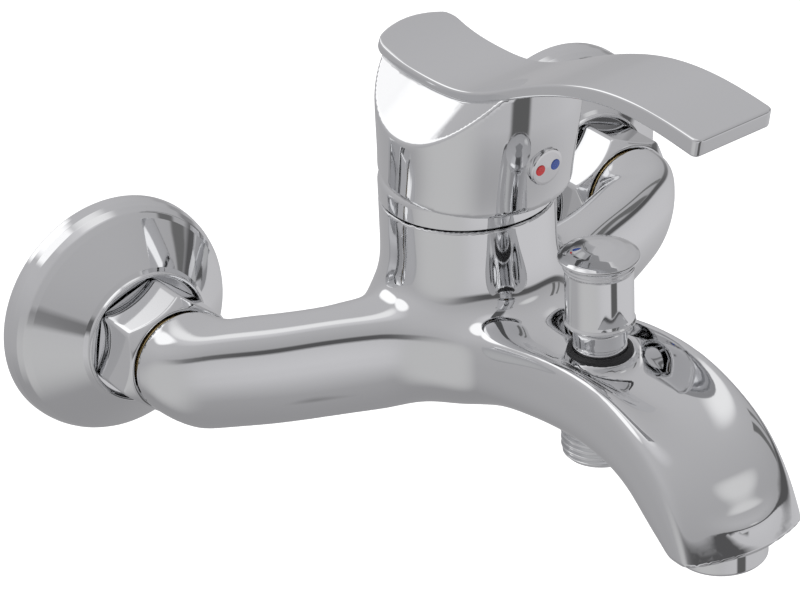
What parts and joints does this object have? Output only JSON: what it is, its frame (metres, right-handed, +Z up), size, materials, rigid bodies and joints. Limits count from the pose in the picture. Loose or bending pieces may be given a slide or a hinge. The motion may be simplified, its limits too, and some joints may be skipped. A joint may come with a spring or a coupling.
{
  "type": "wall mounted bath faucet",
  "caption": "Wall mounted single-lever bath faucet with an arching spout, a pull-up diverter, a threaded shower outlet and round escutcheons.",
  "frame": {"origin": "on the wall plane, midway between the two inlets, at the height of the body's axis", "axes": "+X from the left inlet to the right inlet as seen from the front, +Y into the wall, +Z up; the spout reaches out along -Y"},
  "size_m": [0.2164, 0.1958, 0.1263],
  "materials": {
    "chrome": "polished chrome plate",
    "brass": "bare machined brass",
    "rubber": "black, satin",
    "ceramic": "lapped alumina, satin",
    "cartridge_plastic": "moulded, satin",
    "rotor_plastic": "moulded, glass filled",
    "carrier_plastic": "moulded, satin",
    "valve_plastic": "moulded, satin",
    "aerator_plastic": "moulded, satin",
    "steel": "stainless",
    "button": "polished chrome plate",
    "red_mark": "gloss enamel",
    "blue_mark": "gloss enamel"
  },
  "bodies": {
    "faucet": {"mixer_body": "chrome", "eccentric_union_left": "brass", "eccentric_union_right": "brass", "escutcheon_left": "chrome", "escutcheon_right": "chrome", "union_nut_left": "chrome", "union_nut_right": "chrome", "inlet_tailpiece_left": "brass", "inlet_tailpiece_right": "brass", "union_washer_left": "rubber", "union_washer_right": "rubber", "bonnet_ring": "chrome", "cartridge_nut": "brass", "cartridge_housing": "cartridge_plastic", "cartridge_base": "cartridge_plastic", "cartridge_seals": "rubber", "fixed_disc": "ceramic", "diverter_gland": "chrome", "diverter_gland_ring": "rubber", "diverter_spring": "steel", "shower_nipple": "chrome", "shower_check_valve": "valve_plastic", "aerator_washer": "rubber", "aerator_housing": "chrome", "aerator_insert": "aerator_plastic"},
    "rotor": {"cartridge_rotor": "rotor_plastic", "stem_pin": "steel"},
    "lever": {"handle": "chrome", "cartridge_stem": "brass", "handle_set_screw": "steel", "indicator_button": "button", "hot_dot": "red_mark", "cold_dot": "blue_mark"},
    "disc": {"moving_disc": "ceramic", "disc_carrier": "carrier_plastic"},
    "diverter": {"diverter_knob": "chrome", "diverter_rod": "brass", "diverter_plunger": "brass", "diverter_seals": "rubber"}
  },
  "joints": [
    {"name": "handle_turn", "type": "hinge", "parent": "faucet", "child": "rotor", "pos_m": [0, -0.063, 0.029], "axis": [0, 0, 1], "range_deg": [-50, 40]},
    {"name": "lever_lift", "type": "hinge", "parent": "rotor", "child": "lever", "pos_m": [0, -0.063, 0.03], "axis": [-0.9962, -0.0872, 0], "range_deg": [0, 22]},
    {"name": "disc_slide", "type": "slide", "parent": "rotor", "child": "disc", "axis": [0.0872, -0.9962, 0], "range_m": [0, 0.0034]},
    {"name": "diverter_pull", "type": "slide", "parent": "faucet", "child": "diverter", "axis": [0, 0, 1], "range_m": [0, 0.008], "stiffness_N_per_m": 60, "springref_m": -0.008, "deforming": ["diverter_spring"]}
  ],
  "couplings": [
    {"joint": "disc_slide", "follows": "lever_lift", "m_per_rad": 0.00842}
  ]
}
